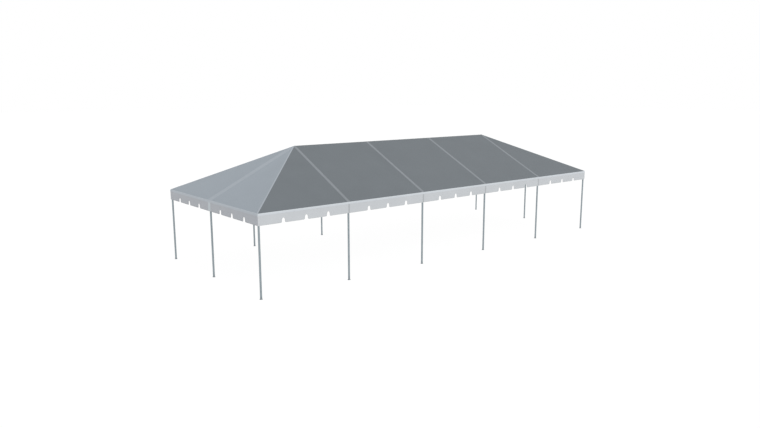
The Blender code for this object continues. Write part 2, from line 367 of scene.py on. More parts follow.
SHADED_SLOPE_FABRIC = coated_fabric("slope_fabric", (0.112, 0.126, 0.137), 0.58, shine=0.2)
LIT_END_FABRIC = coated_fabric("end_fabric", (0.209, 0.241, 0.274))
# The valance fabric in two copies: lighter on the long sides as painted light, darker on the ends
# as painted shade.
LIT_VALANCE_FABRIC = coated_fabric("valance_fabric", (0.396, 0.413, 0.430))
SHADED_END_VALANCE_FABRIC = coated_fabric("end_valance_fabric", (0.338, 0.355, 0.383))
# The hem tapes: the valance fabric painted darker as a shadow line along the hem, the end copy
# darker again as painted shade.
SHADOWED_HEM_FABRIC = coated_fabric("hem_fabric", (0.362, 0.375, 0.386), 0.50, stitched)
SHADOWED_END_HEM_FABRIC = coated_fabric("end_hem_fabric", (0.296, 0.307, 0.327), 0.50, stitched)
# One corner band fabric in two copies: lighter towards the long sides as painted light, darker
# towards the ends as painted shade.
LIT_CORNER_FABRIC = coated_fabric("corner_fabric", (0.408, 0.425, 0.442), 0.50, stitched)
SHADED_END_CORNER_FABRIC = coated_fabric("end_corner_fabric", (0.338, 0.355, 0.383), 0.50, stitched)
# The welded seam band in two copies: darker over the rafters as painted shade, lighter over the
# hips as painted light.
SHADED_SEAM_FABRIC = coated_fabric("seam_fabric", (0.171, 0.186, 0.201), 0.50, welded, shine=0.2)
LIT_END_SEAM_FABRIC = coated_fabric("end_seam_fabric", (0.250, 0.282, 0.315), 0.42, welded)
# A lighter band up the middle of each end: a painted highlight of a soft crease over the end
# rafter.
END_MIDDLE_HIGHLIGHT_FABRIC = coated_fabric("end_middle_fabric", (0.227, 0.259, 0.294), 0.42, welded)
# The eave band in two copies: lighter on the long sides as painted light, darker on the ends as
# painted shade.
LIT_BAND_FABRIC = coated_fabric("band_fabric", (0.429, 0.456, 0.482), 0.42, stitched)
SHADED_END_BAND_FABRIC = coated_fabric("end_band_fabric", (0.345, 0.380, 0.416), 0.42, stitched)
# The post webbing in two copies: darker on the long sides as painted shade, lighter on the ends as
# painted light.
SHADED_WEBBING = coated_fabric("webbing", (0.303, 0.318, 0.332), 0.60, stitched)
LIT_WEBBING = coated_fabric("light_webbing", (0.430, 0.474, 0.500), 0.60, stitched)
TUBE_METAL = satin_metal("tube_metal", (0.290, 0.335, 0.358), 0.38, 0.02)
FITTING_METAL = satin_metal("fitting_metal", (0.34, 0.37, 0.39), 0.50, 1.0, SOCKET_RIM)
BOLT_METAL = satin_metal("bolt_metal", (0.50, 0.51, 0.52), 0.32, 1.0)


# Pieces

def link(name, mesh, materials, smooth_below=35):
    """An object of the tent with its materials and its body."""
    piece = bpy.data.objects.new(name, mesh)
    bpy.context.scene.collection.objects.link(piece)
    for one in materials:
        mesh.materials.append(one)
    mesh.shade_smooth()
    mesh.set_sharp_from_angle(angle=math.radians(smooth_below))
    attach(piece, "root")
    return piece


def thicken(piece, thickness, offset=-1):
    """Make a sheet a solid of a thickness, with crisp edges."""
    faces_at = Counter(key for face in piece.data.polygons for key in face.edge_keys)
    for edge in piece.data.edges:
        edge.use_edge_sharp |= faces_at[edge.key] == 1
    solid = piece.modifiers.new("thickness", "SOLIDIFY")
    solid.thickness = thickness
    solid.offset = offset
    return piece


def as_mesh(shape, name):
    """A mesh from a bmesh, which is freed."""
    mesh = bpy.data.meshes.new(name)
    shape.to_mesh(mesh)
    shape.free()
    return mesh


def band_places(rows):
    """For each point of rows across a band, its distances from the nearest edge and along it."""
    places = []
    along = 0
    for number, row in enumerate(rows):
        across = [0]
        for one, other in zip(row, row[1:]):
            across.append(across[-1] + math.dist(one, other))
        if number:
            middle = len(row) // 2
            along += math.dist(row[middle], rows[number - 1][middle])
        places.append([(min(place, across[-1] - place), along) for place in across])
    return places


def strip(name, rows, materials, smooth_below=35):
    """A band through rows of points across it, faced away from the middle of each row."""
    shape = bmesh.new()
    mapped = shape.loops.layers.uv.new(BAND_MAP)
    places = {}
    lines = []
    for row, flat_row in zip(rows, band_places(rows)):
        line = [shape.verts.new(point) for point in row]
        places.update(zip(line, flat_row))
        lines.append(line)
    outward = 0
    for one, other in zip(lines, lines[1:]):
        middle = sum((vert.co for vert in one + other), Vector()) / (2 * len(one))
        for number in range(len(one) - 1):
            corners = (one[number], one[number + 1], other[number + 1], other[number])
            face = shape.faces.new(corners)
            face.normal_update()
            outward += face.calc_area() * face.normal.dot(face.calc_center_median() - middle)
            for loop in face.loops:
                loop[mapped].uv = places[loop.vert]
    if outward < 0:
        bmesh.ops.reverse_faces(shape, faces=shape.faces)
    return thicken(link(name, as_mesh(shape, name), materials, smooth_below), BAND_CLOTH)


def steps(start, end, count):
    """Values from start to end in count even steps."""
    return [start + (end - start) * number / count for number in range(count + 1)]


# Frame

def turned(profile, sides=ROUND, shape=None, matrix=Matrix(), material_index=0):
    """A closed solid turned about Z, through (radius, height) points from its lower end up."""
    shape = shape or bmesh.new()
    rings = []
    for radius, height in profile:
        count = sides if radius else 1
        ring = []
        for number in range(count):
            angle = 2 * math.pi * number / sides
            place = Vector((radius * math.cos(angle), radius * math.sin(angle), height))
            ring.append(shape.verts.new(matrix @ place))
        rings.append(ring)
    for lower, upper in zip(rings, rings[1:]):
        for number in range(sides):
            after = (number + 1) % sides
            corners = [
                lower[number % len(lower)],
                lower[after % len(lower)],
                upper[after % len(upper)],
                upper[number % len(upper)],
            ]
            face = shape.faces.new(list(dict.fromkeys(corners)))
            face.material_index = material_index
    return shape


def towards(direction, start=Vector()):
    """A matrix that turns +Z to a direction and moves the origin to start."""
    return Matrix.Translation(start) @ direction.to_track_quat("Z", "Y").to_matrix().to_4x4()


def rounded_bar(radius, low, high, rounding=MOUTH_ROUNDING):
    """Profile of a bar with both rims rounded."""
    ring = [(radius - rounding, low), (radius - rounding * 0.3, low + rounding * 0.3)]
    ring += [(radius, low + rounding), (radius, high - rounding)]
    ring += [(radius - rounding * 0.3, high - rounding * 0.3), (radius - rounding, high)]
    return [(0, low), *ring, (0, high)]


def make_tube(name, start, end, node):
    """A tube between two fittings' centres, which replaces its CAD node."""
    along = (end - start).normalized()
    length = (end - start).length
    shape = turned(rounded_bar(TUBE_R, TUBE_START, length - TUBE_START))
    tube = link(name, as_mesh(shape, name), [TUBE_METAL])
    tube.matrix_world = towards(along, start)
    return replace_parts(tube, node)


def make_leg(name, x, y, node):
    """A leg tube welded to its round foot plate."""
    profile = [
        (0, 0),
        (FOOT_R - FOOT_EDGE, 0),
        (FOOT_R, FOOT_EDGE),
        (FOOT_R, FOOT_THICKNESS - FOOT_EDGE),
        (FOOT_R - FOOT_EDGE, FOOT_THICKNESS),
        (TUBE_R + FOOT_WELD, FOOT_THICKNESS),
        (TUBE_R + 0.0048, FOOT_THICKNESS + 0.0024),
        (TUBE_R + 0.0024, FOOT_THICKNESS + 0.0048),
        (TUBE_R, FOOT_THICKNESS + FOOT_WELD),
        *[(TUBE_R, height) for height in (0.4, 0.8, 1.2, 1.6, 2.0)],
        (TUBE_R, RAIL_Z - TUBE_START),
        (0, RAIL_Z - TUBE_START),
    ]
    leg = link(name, as_mesh(turned(profile), name), [TUBE_METAL])
    leg.location = (x, y, 0)
    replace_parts(leg, node)


def weld_line(way, earlier):
    """Where a sleeve leaves the hub and the sleeves made before it, as a loop of points."""
    across = way.orthogonal().normalized()
    other_across = way.cross(across)
    from_hub = math.sqrt(max(0, HUB_R ** 2 - SLEEVE_R ** 2))
    points = []
    for number in range(2 * ROUND):
        angle = math.pi * number / ROUND
        side = (across * math.cos(angle) + other_across * math.sin(angle)) * SLEEVE_R
        exits = [from_hub]
        for axis in earlier:
            foot = side - axis * side.dot(axis)
            run = way - axis * way.dot(axis)
            half = foot.dot(run)
            root = half * half - run.length_squared * (foot.length_squared - SLEEVE_R ** 2)
            if root < 0 or run.length_squared < NEAR_NOTHING:
                continue
            exit_at = (math.sqrt(root) - half) / run.length_squared
            if (side + way * exit_at).dot(axis) > 0:
                exits.append(exit_at)
        points.append(side + way * max(exits))
    return points


def add_weld(shape, points):
    """A rippled bead along a closed loop of points."""
    count = len(points)
    rings = []
    for number, point in enumerate(points):
        along = (points[(number + 1) % count] - points[number - 1]).normalized()
        out = (point - along * point.dot(along)).normalized()
        side = along.cross(out)
        radius = WELD_R * (1 + WELD_RIPPLE * math.sin(number * math.pi / 2))
        ring = []
        for corner in range(WELD_SIDES):
            angle = 2 * math.pi * corner / WELD_SIDES
            turn = out * math.cos(angle) + side * math.sin(angle)
            ring.append(shape.verts.new(point + turn * radius))
        rings.append(ring)
    for number in range(count):
        one, other = rings[number - 1], rings[number]
        for corner in range(WELD_SIDES):
            after = (corner + 1) % WELD_SIDES
            shape.faces.new((one[corner], one[after], other[after], other[corner]))


def add_bolt(shape, centre, axis):
    """A dome-headed bolt through a socket; axis points to the end with its washer and nut."""
    matrix = towards(axis, centre)
    surface, rim = SLEEVE_R, BOLT_HEAD_R
    dome = [(0, -surface - 0.0034), (0.0044, -surface - 0.0028), (0.0074, -surface - 0.0012)]
    dome += [(rim, -surface), (rim, -surface + WASHER), (0, -surface + WASHER)]
    washer = [(0, surface - WASHER), (rim, surface - WASHER), (rim, surface + 0.0012)]
    washer += [(0.0076, surface + WASHER), (0, surface + WASHER)]
    nut_low, nut_high = surface + WASHER, surface + 0.0080
    nut = [(0, nut_low), (0.0068, nut_low), (0.0075, nut_low + 0.0006)]
    nut += [(0.0075, nut_high - 0.0008), (0.0066, nut_high), (0, nut_high)]
    thread = [(0, nut_high - 0.001), (0.0040, nut_high - 0.001), (0.0040, nut_high + 0.0018)]
    thread += [(0.0033, nut_high + 0.0025), (0, nut_high + 0.0025)]
    for profile, sides in ((dome, BOLT_SIDES), (washer, BOLT_SIDES), (nut, 6), (thread, 10)):
        turned(profile, sides, shape, matrix, material_index=1)


def bolt_axis(way, inside, under):
    """Which way the bolt of a socket points: level, and with its nut away from the fabric."""
    if abs(way.z) > 0.99:
        return under
    level = way.cross(UP).normalized()
    return -level if level.dot(inside) < 0 else level


def temporary(shape):
    """An object from a bmesh, for the boolean steps of a fitting."""
    solid = bpy.data.objects.new("temporary", as_mesh(shape, "temporary"))
    bpy.context.scene.collection.objects.link(solid)
    return solid


def fitting_mesh(name, sockets, inside, under, through=None):
    """Sleeves welded round a hub, or to a sleeve that slips over a tube along through; bolted."""
    arms = [through, -through] if through else []
    if through:
        slip = rounded_bar(SLEEVE_R, -SLEEVE_LENGTH, SLEEVE_LENGTH)
        base = temporary(turned(slip, matrix=towards(through)))
    else:
        hub = bmesh.new()
        turn = Matrix.Rotation(HUB_TURN[0], 4, "X") @ Matrix.Rotation(HUB_TURN[1], 4, "Y")
        bmesh.ops.create_uvsphere(
            hub, u_segments=ROUND, v_segments=ROUND // 2, radius=HUB_R, matrix=turn
        )
        base = temporary(hub)
    sleeve = rounded_bar(SLEEVE_R, 0, SLEEVE_LENGTH)
    added = [temporary(turned(sleeve, matrix=towards(way))) for way in sockets]
    past = SLEEVE_LENGTH + TUBE_R
    bore = [(0, SOCKET_FLOOR), (BORE_R, SOCKET_FLOOR), (BORE_R, past), (0, past)]
    cut = [temporary(turned(bore, matrix=towards(way))) for way in sockets]
    if through:
        open_bore = [(0, -past), (BORE_R, -past), (BORE_R, past), (0, past)]
        cut.append(temporary(turned(open_bore, matrix=towards(through))))
    for other, operation in [(o, "UNION") for o in added] + [(o, "DIFFERENCE") for o in cut]:
        step = base.modifiers.new("step", "BOOLEAN")
        step.operation = operation
        step.solver = "EXACT"
        step.object = other
    depsgraph = bpy.context.evaluated_depsgraph_get()
    shape = bmesh.new()
    shape.from_mesh(base.evaluated_get(depsgraph).to_mesh())
    bmesh.ops.remove_doubles(shape, verts=shape.verts, dist=SAME_POINT)
    bmesh.ops.dissolve_degenerate(shape, edges=shape.edges, dist=SAME_POINT)
    for one in (base, *added, *cut):
        bpy.data.objects.remove(one)
    for number, way in enumerate(sockets):
        add_weld(shape, weld_line(way, arms + list(sockets[:number])))
    for way in [*sockets, *arms]:
        add_bolt(shape, way * BOLT_AT, bolt_axis(way, inside, under))
    return as_mesh(shape, name)


def place_fitting(name, mesh, centre, mirror=(1, 1), node=None):
    """A copy of a fitting's mesh at centre, mirrored in X or Y where mirror says -1."""
    own = mesh.copy()
    own.transform(Matrix.Diagonal((*mirror, 1, 1)))
    if mirror[0] * mirror[1] < 0:
        own.flip_normals()
    piece = link(name, own, [FITTING_METAL, BOLT_METAL])
    piece.location = centre
    if node:
        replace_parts(piece, node)


def make_long_side(side, sign, tee, tee_without_leg, without_leg):
    """Legs, eave rail, rafters and tees of the front (-1) or back (1)."""
    y = sign * HALF_WIDTH
    ends = [Vector((x, y, RAIL_Z)) for x in (-HALF_LENGTH, HALF_LENGTH)]
    made = [make_tube(f"{side}_eave_tube", *ends, f"eave_rail_{side}")]
    for post, x in enumerate(POST_X, start=1):
        bare = post in without_leg
        if not bare:
            make_leg(f"{side}_leg_{post}", x, y, f"leg_{side}_{post}")
        if abs(x) < HALF_LENGTH:
            foot = Vector((x, y, RAIL_Z))
            top = Vector((x, 0, RIDGE_Z))
            made.append(make_tube(f"{side}_rafter_{post}", foot, top, f"rafter_{side}_{post}"))
            mesh = tee_without_leg if bare else tee
            place_fitting(f"{side}_tee_{post}", mesh, foot, (1, -sign))
    return made


def make_end(side, sign, corner_mesh, tee, crown_mesh):
    """Middle leg, rail, rafters and fittings of the left (-1) or right (1) end."""
    x = sign * HALF_LENGTH
    corners = [Vector((x, y, RAIL_Z)) for y in (-HALF_WIDTH, HALF_WIDTH)]
    middle = Vector((x, 0, RAIL_Z))
    crown = Vector((sign * HALF_RIDGE, 0, RIDGE_Z))
    make_leg(f"{side}_middle_leg", x, 0, f"leg_{side}_middle")
    made = [
        make_tube(f"{side}_eave_tube", *corners, f"eave_rail_{side}"),
        make_tube(f"{side}_end_rafter", middle, crown, f"end_rafter_{side}"),
    ]
    place_fitting(f"{side}_tee", tee, middle, (-sign, 1))
    place_fitting(f"{side}_crown", crown_mesh, crown, (-sign, 1), f"crown_{side}")
    for corner, flip, long_side in zip(corners, (1, -1), ("front", "back")):
        end = f"{long_side}_{side}"
        place_fitting(f"{end}_corner", corner_mesh, corner, (-sign, flip), f"corner_{end}")
        made.append(make_tube(f"{end}_hip_rafter", corner, crown, f"hip_rafter_{end}"))
    return made


def make_frame():
    """Every tube, leg and fitting; returns the tubes that the canopy lies on."""
    up_slope = Vector((0, HALF_WIDTH, RIDGE_Z - RAIL_Z)).normalized()
    up_end = Vector((BAY, 0, RIDGE_Z - RAIL_Z)).normalized()
    up_hip = Vector((BAY, HALF_WIDTH, RIDGE_Z - RAIL_Z)).normalized()
    mirrored_hip = Vector((up_hip.x, -up_hip.y, up_hip.z))
    down_slopes = [Vector((0, sign * up_slope.y, -up_slope.z)) for sign in (-1, 1)]
    diagonal = Vector((1, -1, 0)).normalized()
    side_tee = fitting_mesh("side_tee", [DOWN, up_slope], BACK, RIGHT, through=RIGHT)
    bare_tee = fitting_mesh("side_tee_without_leg", [up_slope], BACK, RIGHT, through=RIGHT)
    end_tee = fitting_mesh("end_tee", [DOWN, up_end], RIGHT, BACK, through=BACK)
    ridge_tee = fitting_mesh("ridge_tee", down_slopes, RIGHT, RIGHT, through=RIGHT)
    corner = fitting_mesh("corner", [DOWN, RIGHT, BACK, up_hip], RIGHT + BACK, diagonal)
    crown_ways = [-up_hip, -mirrored_hip, *down_slopes, -up_end, RIGHT]
    crown = fitting_mesh("crown", crown_ways, RIGHT, RIGHT)
    made = make_long_side("front", -1, side_tee, bare_tee, ())
    made += make_long_side("back", 1, side_tee, bare_tee, BACK_POSTS_WITHOUT_LEG)
    for sign, end in LEFT_RIGHT:
        made += make_end(end, sign, corner, end_tee, crown)
    ridge_ends = [Vector((x, 0, RIDGE_Z)) for x in (-HALF_RIDGE, HALF_RIDGE)]
    made.append(make_tube("ridge_tube", *ridge_ends, "ridge_beam"))
    for post in (3, 4):
        place_fitting(f"ridge_tee_{post}", ridge_tee, Vector((POST_X[post - 1], 0, RIDGE_Z)))
    return made


# Canopy

def face_height(beyond, pitch):
    """The outer face of a slope and its fold, at a distance beyond the post line."""
    if beyond > FOLD_R * math.sin(math.atan(pitch)):
        return RAIL_Z + math.sqrt(max(0, FOLD_R ** 2 - beyond ** 2))
    return RAIL_Z + FOLD_R * math.hypot(1, pitch) - pitch * beyond


def slope_height(y):
    """The outer face of the front or back slope, without its sag."""
    return face_height(abs(y) - HALF_WIDTH, PITCH)


def end_height(x):
    """The outer face of a hipped end, without its sag."""
    return face_height(abs(x) - HALF_LENGTH, END_PITCH)


def hip_x(y):
    """The |x| at which the outer faces of a slope and an end meet, for a |y|."""
    height = slope_height(y) - RAIL_Z
    if height < FOLD_R * math.cos(math.atan(END_PITCH)):
        return HALF_LENGTH + math.sqrt(FOLD_R ** 2 - height ** 2)
    return HALF_LENGTH + (FOLD_R * math.hypot(1, END_PITCH) - height) / END_PITCH


def sag_at(x, y):
    """How far the fabric hangs below its plane: not over a tube, most in a panel's middle."""
    x, y = abs(x), min(abs(y), HALF_WIDTH)
    up = 1 - y / HALF_WIDTH
    if x <= HALF_RIDGE:
        across = (x + HALF_LENGTH) / BAY % 1
        return SLOPE_SAG * math.sin(math.pi * across) * math.sin(math.pi * up)
    beyond = min((x - HALF_RIDGE) / BAY, 1)
    if beyond <= 1 - up:
        weights = (1 - up - beyond, beyond, up)
    else:
        weights = (1 - up, beyond - (1 - up), 1 - beyond)
    return CORNER_SAG * 27 * max(0, weights[0]) * max(0, weights[1]) * max(0, weights[2])


def pucker_at(x, y):
    """Small waves that start at the eaves, where the fabric is pulled down."""
    from_eave = min(HALF_WIDTH - abs(y), HALF_LENGTH - abs(x))
    along = x if HALF_WIDTH - abs(y) < HALF_LENGTH - abs(x) else y
    wave = noise.noise(Vector((along * 3.1, from_eave * 0.6, 4.2)))
    fading = math.exp(-max(0, from_eave) / PUCKER_FADE)
    return PUCKER * wave * fading * min(1, max(0, from_eave) / 0.12)


def canopy_height(x, y):
    """The outer face of the canopy at a point of the plan."""
    return min(slope_height(y), end_height(x)) - sag_at(x, y) - pucker_at(x, y)


def grid_lines(half_span, pitch, half_flat, flat_cells):
    """Plan positions across the canopy, each with its height on this side's slope.

    They go round the fold, up the slope, along the level middle, and down again.
    """
    tangent = math.atan(pitch)
    lines = []
    for angle in steps(math.pi / 2, tangent, FOLD_CELLS)[:-1]:
        lines.append((-half_span - FOLD_R * math.sin(angle), RAIL_Z + FOLD_R * math.cos(angle)))
    start = -half_span - FOLD_R * math.sin(tangent)
    top = RIDGE_Z + FOLD_R * math.hypot(1, PITCH)
    bottom = RAIL_Z + FOLD_R * math.cos(tangent)
    for share in steps(0, 1, CELLS):
        lines.append((start + (-half_flat - start) * share, bottom + (top - bottom) * share))
    mirrored = [(-place, height) for place, height in reversed(lines)]
    if not half_flat:
        return lines + mirrored[1:]
    level = [(place, top) for place in steps(-half_flat, half_flat, flat_cells)[1:-1]]
    return lines + level + mirrored


def make_canopy():
    """One continuous sheet: two long slopes and two hipped ends, folded over the eave rails."""
    columns = grid_lines(HALF_LENGTH, END_PITCH, hip_x(0), (BAYS - 2) * CELLS)
    rows = grid_lines(HALF_WIDTH, PITCH, 0, 0)
    shape = bmesh.new()
    verts = []
    for x, on_end in columns:
        line = []
        for y, on_slope in rows:
            z = min(on_end, on_slope)
            if abs(x) < HALF_LENGTH and abs(y) < HALF_WIDTH:
                z -= sag_at(x, y) + pucker_at(x, y)
            line.append(shape.verts.new((x, y, z)))
        verts.append(line)
    last_column, last_row = len(columns) - 1, len(rows) - 1
    # Slope faces take the darker vinyl of painted shade, end faces the lighter vinyl of painted
    # light.
    for i in range(last_column):
        for j in range(last_row):
            corners = [verts[i][j], verts[i + 1][j], verts[i + 1][j + 1], verts[i][j + 1]]
            from_end = min(i, last_column - 1 - i)
            from_eave = min(j, last_row - 1 - j)
            if from_end != from_eave:
                face = shape.faces.new(corners)
                face.material_index = int(from_end < from_eave)
                continue
            if (i < last_column / 2) != (j < last_row / 2):
                corners = corners[1:] + corners[:1]
            for half in (corners[:3], (corners[0], *corners[2:])):
                face = shape.faces.new(half)
                middle = face.calc_center_median()
                face.material_index = int(end_height(middle.x) < slope_height(middle.y))
    mesh = as_mesh(shape, "canopy")
    canopy = link("canopy", mesh, [SHADED_SLOPE_FABRIC, LIT_END_FABRIC], smooth_below=25)
    thicken(canopy, CLOTH)
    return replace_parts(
        canopy, "canopy_front_slope", "canopy_back_slope", "canopy_left_end", "canopy_right_end"
    )


def inside_edge(edge, beside):
    """Where the flat of a seam band starts, a step in from its edge towards the next point."""
    share = min(BAND_FLANK / max(math.dist(edge, beside), NEAR_NOTHING), 0.3)
    return Vector(edge).lerp(Vector(beside), share)


def seam_strip(name, rows, lift, fabric):
    """A seam band through rows of plan points: flat, proud of the fabric, its edges sunk in it."""
    raised = []
    for row in rows:
        flat = [inside_edge(row[0], row[1]), *row[1:-1], inside_edge(row[-1], row[-2])]
        line = [(x, y, canopy_height(x, y) + lift) for x, y in flat]
        ends = [(x, y, canopy_height(x, y) + BAND_EDGE) for x, y in (row[0], row[-1])]
        raised.append([ends[0], *line, ends[1]])
    return strip(name, raised, [fabric], smooth_below=60)


def fold_stops(half_span, top, count):
    """Distances from the middle: close together round the fold, then even up to the top."""
    tangent = math.atan(PITCH)
    fold = [half_span + FOLD_R * math.sin(angle) for angle in steps(SEAM_FOOT, tangent, 4)]
    return fold[:-1] + steps(fold[-1], top, count)


def make_rafter_seam(post):
    """A band over the two rafters of a post, kept off the hipped ends."""
    up_slope = fold_stops(HALF_WIDTH, 0, SEAM_CELLS)
    rows = []
    for y in [-y for y in up_slope] + up_slope[-2::-1]:
        x, limit = POST_X[post - 1], hip_x(y)
        low, high = max(x - RAFTER_BAND / 2, -limit), min(x + RAFTER_BAND / 2, limit)
        rows.append([(place, y) for place in steps(low, high, ACROSS_BAND)])
    return seam_strip(f"rafter_seam_{post}", rows, BAND_LIFT, SHADED_SEAM_FABRIC)


def make_end_highlight_band(sign, end):
    """A band up the middle of an end, which narrows to a point between the hips; its lighter fabric
    is a painted highlight of a soft crease.
    """
    rows = []
    for x in fold_stops(HALF_LENGTH, hip_x(0) + SEAM_POINT, SEAM_CELLS):
        to_hip = (slope_height(0) - end_height(x)) / PITCH
        half = min(END_BAND / 2, to_hip)
        rows.append([(sign * x, place) for place in steps(-half, half, ACROSS_BAND)])
    lift = BAND_LIFT + OVERLAP_LIFT
    return seam_strip(f"{end}_end_seam", rows, lift, END_MIDDLE_HIGHLIGHT_FABRIC)


def make_hip_seam(sign, end, other, side):
    """A band folded over a hip, wide on the end and narrow on the slope."""
    hip = Vector((BAY, HALF_WIDTH)).normalized()
    on_slope, on_end = HIP_BAND_ON_SLOPE / hip.y, HIP_BAND_ON_END / hip.x
    rows = []
    for y in fold_stops(HALF_WIDTH, SEAM_POINT, SEAM_CELLS):
        x = hip_x(y)
        row = [(sign * (x - on_slope * share), other * y) for share in steps(1, 0, 3)]
        width = min(on_end, y)
        row += [(sign * x, other * (y - width * share)) for share in steps(0, 1, 3)[1:]]
        rows.append(row)
    lift = BAND_LIFT + 2 * OVERLAP_LIFT
    return seam_strip(f"{side}_{end}_hip_seam", rows, lift, LIT_END_SEAM_FABRIC)


def make_seams():
    """Welded seam bands over the rafters and the hips, and a band of painted highlight up the
    middle of each end.
    """
    made = [make_rafter_seam(post) for post in range(2, BAYS + 1)]
    for sign, end in LEFT_RIGHT:
        made.append(make_end_highlight_band(sign, end))
        made += [make_hip_seam(sign, end, other, side) for other, side in FRONT_BACK]
    return made


def make_eave_band(side):
    """The band that holds the valance to the canopy, round the fold over the eave rail."""
    on_long_side = side in LONG_SIDES
    # The long sides take the lighter copy of painted light, the ends the darker copy of painted
    # shade.
    fabric, top = (LIT_BAND_FABRIC, EAVE_BAND_TOP) if on_long_side else (SHADED_END_BAND_FABRIC, END_BAND_TOP)
    section = []
    rim = math.radians(1.2)
    fold = [top, *steps(top + rim, math.pi / 2, 8)]
    for number, angle in enumerate(fold):
        radius = FOLD_R + (EAVE_LIFT if number else BAND_EDGE)
        section.append((radius * math.sin(angle), RAIL_Z + radius * math.cos(angle)))
    for drop in steps(0, EAVE_BAND_DROP, 3)[1:]:
        section.append((FOLD_R + EAVE_LIFT, RAIL_Z - drop))
    section.append((FOLD_R, RAIL_Z - EAVE_BAND_DROP - 0.0004))
    rows = []
    for share in steps(-1, 1, round(side.half / STEP_ALONG)):
        rows.append([side.at((side.half + out) * share, out, height) for out, height in section])
    return strip(f"{side.name}_eave_band", rows, [fabric], smooth_below=50)


# Valances

def arc(centre, across, up, start, end, count):
    """Points on an ellipse's arc, from its half width and half height, angles in degrees."""
    angles = [math.radians(degrees) for degrees in steps(start, end, count)]
    return [(centre[0] + across * math.cos(a), centre[1] + up * math.sin(a)) for a in angles]


def notch_points(middle):
    """One notch of the hem: a rounded flap corner, an arched top, a rounded corner."""
    half, rise, corner = NOTCH_HALF_WIDTH, NOTCH_TOP_RISE, FLAP_CORNER_R
    return [
        *arc((middle - half - corner, corner), corner, corner, -90, 0, 6),
        *arc((middle, NOTCH_HEIGHT - rise), half, rise, 180, 0, 20),
        *arc((middle + half + corner, corner), corner, corner, 180, 270, 6),
    ]


def notch_middles(posts):
    """Where the notches are along a side: evenly in each bay."""
    bays = zip(posts, posts[1:])
    return [place for ends in bays for place in steps(*ends, NOTCHES_PER_BAY + 1)[1:-1]]


def hem_line(side, reach, spacing):
    """The hem from end to end with its notches; straight stretches have a point every spacing."""
    corners = [(-reach, 0)]
    for middle in notch_middles(side.posts):
        corners += notch_points(middle)
    corners.append((reach, 0))
    line = [corners[0]]
    for start, end in zip(corners, corners[1:]):
        count = max(1, round(math.dist(start, end) / spacing))
        line += zip(steps(start[0], end[0], count)[1:], steps(start[1], end[1], count)[1:])
    return line


def hang(side, along, height):
    """How far a valance stands off its plane: nothing at a post or at the eave."""
    down = max(0, RAIL_Z - HEM_Z - height - WAVES_START)
    for left, right in zip(side.posts, side.posts[1:]):
        if left <= along <= right:
            held = math.sin(math.pi * (along - left) / (right - left)) ** 0.6
            wave = noise.noise(Vector((along * 1.9, down * 0.8, side.seed)))
            ripple = noise.noise(Vector((along * 7.0, down * 2.0, side.seed + 9)))
            return RIPPLE * held * (wave + 0.3 * ripple) * min(1, down / 0.25)
    return 0


def on_valance(side, along, height, proud=0):
    """A point of the valance by its place along the side and its height above the hem."""
    return side.at(along, FOLD_R + hang(side, along, height) + proud, HEM_Z + height)


def valance_fabrics(side):
    """The fabrics of a side's valance and of its hem tape; the ends get the copies painted darker
    as shade.
    """
    if side in LONG_SIDES:
        return LIT_VALANCE_FABRIC, SHADOWED_HEM_FABRIC
    return SHADED_END_VALANCE_FABRIC, SHADOWED_END_HEM_FABRIC


def make_valance(side):
    """A hanging strip cut from its outline, in a fine net; returned with its flat size and area."""
    drop = RAIL_Z - HEM_Z
    reach = side.half + FOLD_R
    hem = hem_line(side, reach, STEP_ALONG)
    columns = round(2 * reach / NET_STEP)
    top = [(place, drop) for place in steps(reach, -reach, columns)]
    outline = [Vector(point) for point in hem + top]
    count = len(outline)
    edges = [(i, (i + 1) % count) for i in range(count)]
    clear = NOTCH_HALF_WIDTH + FLAP_CORNER_R + 0.012
    middles = notch_middles(side.posts)
    inner = []
    for place in steps(-reach, reach, columns)[1:-1]:
        heights = NET_ABOVE_NOTCHES
        if all(abs(place - middle) > clear for middle in middles):
            heights += NET_BESIDE_NOTCHES
        inner += [Vector((place, height)) for height in heights]
    whole = [list(range(count))]
    verts, _, faces, *_ = delaunay_2d_cdt(outline + inner, edges, whole, 2, NEAR_NOTHING)
    name = f"{side.name}_valance"
    mesh = bpy.data.meshes.new(name)
    mesh.from_pydata([on_valance(side, spot.x, spot.y) for spot in verts], [], faces)
    mesh.update()
    valance = thicken(link(name, mesh, [valance_fabrics(side)[0]]), CLOTH, 0)
    area = sum(a[0] * b[1] - b[0] * a[1] for a, b in zip(outline, outline[1:] + outline[:1])) / 2
    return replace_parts(valance, f"valance_{side.name}"), (drop, 2 * reach), area


def make_hem_tape(side):
    """A tape folded over the hem, round every notch."""
    line = hem_line(side, side.half + FOLD_R - 0.002, 0.04)
    proud = CLOTH / 2 + 0.0007
    rows = []
    for number, point in enumerate(line):
        before, after = line[max(0, number - 1)], line[min(len(line) - 1, number + 1)]
        along = Vector((after[0] - before[0], after[1] - before[1])).normalized()
        inward = Vector((-along.y, along.x))
        row = []
        for depth, out in ((HEM_TAPE, 0.4), (HEM_TAPE - 0.001, 1), (0, 1), (-0.0008, 0)):
            row.append((Vector(point) + inward * depth, out * proud))
        row += [(place, -out) for place, out in reversed(row[:3])]
        rows.append([on_valance(side, place.x, place.y, out) for place, out in row])
    name = f"{side.name}_hem_tape"
    # Its fabric is painted darker than the valance as a shadow line.
    return strip(name, rows, [valance_fabrics(side)[1]], smooth_below=50)


